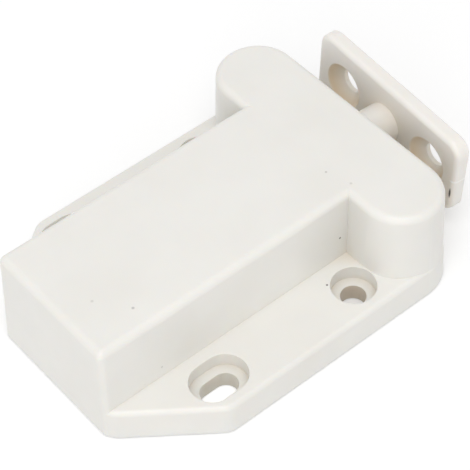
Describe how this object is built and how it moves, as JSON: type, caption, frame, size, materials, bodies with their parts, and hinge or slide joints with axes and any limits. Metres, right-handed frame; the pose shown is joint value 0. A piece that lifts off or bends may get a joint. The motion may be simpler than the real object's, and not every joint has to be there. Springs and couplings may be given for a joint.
{
  "type": "cupboard catch",
  "caption": "Push-to-open cupboard catch: a T-shaped moulded housing with drilled flanges whose claws hold a strike plate by its stem and let it go at the next push.",
  "frame": {"origin": "on the mounting face, midway between the screw holes", "axes": "+X across the flanges, +Y out of the mouth towards the door, +Z away from the panel"},
  "size_m": [0.0472, 0.0691, 0.0186],
  "materials": {
    "housing_plastic": "satin off-white moulded plastic",
    "strike_plastic": "satin off-white moulded plastic",
    "bearing_plastic": "smooth white low-friction plastic",
    "steel": "ground steel pin",
    "spring_steel": "bright drawn spring wire"
  },
  "bodies": {
    "housing": {"housing": "housing_plastic", "base_plate": "housing_plastic", "claw_pin_left": "steel", "claw_pin_right": "steel", "main_spring": "spring_steel"},
    "slider": {"slider": "bearing_plastic", "strike": "strike_plastic"},
    "claw_left": {"claw_left": "bearing_plastic"},
    "claw_right": {"claw_right": "bearing_plastic"},
    "lock_pin": {"lock_pin": "spring_steel"}
  },
  "joints": [
    {"name": "slider_slide", "type": "slide", "parent": "housing", "child": "slider", "axis": [0, 1, 0], "range_m": [-0.002, 0.008], "deforming": ["main_spring"]},
    {"name": "claw_left_swing", "type": "hinge", "parent": "housing", "child": "claw_left", "pos_m": [-0.01625, 0.0237, 0.0116], "axis": [0, 0, 1], "range_deg": [-8.75, 35]},
    {"name": "claw_right_swing", "type": "hinge", "parent": "housing", "child": "claw_right", "pos_m": [0.01625, 0.0237, 0.0116], "axis": [0, 0, 1], "range_deg": [-35, 8.75]},
    {"name": "lock_pin_swing", "type": "hinge", "parent": "housing", "child": "lock_pin", "pos_m": [0, -0.0206, 0.0028], "axis": [0, 0, 1], "range_deg": [-2, 8]}
  ],
  "couplings": [
    {"joint": "claw_left_swing", "follows": "slider_slide", "rad_per_m": 76.35},
    {"joint": "claw_right_swing", "follows": "slider_slide", "rad_per_m": -76.35},
    {"joint": "lock_pin_swing", "follows": "slider_slide", "rad_per_m": 17.45}
  ]
}
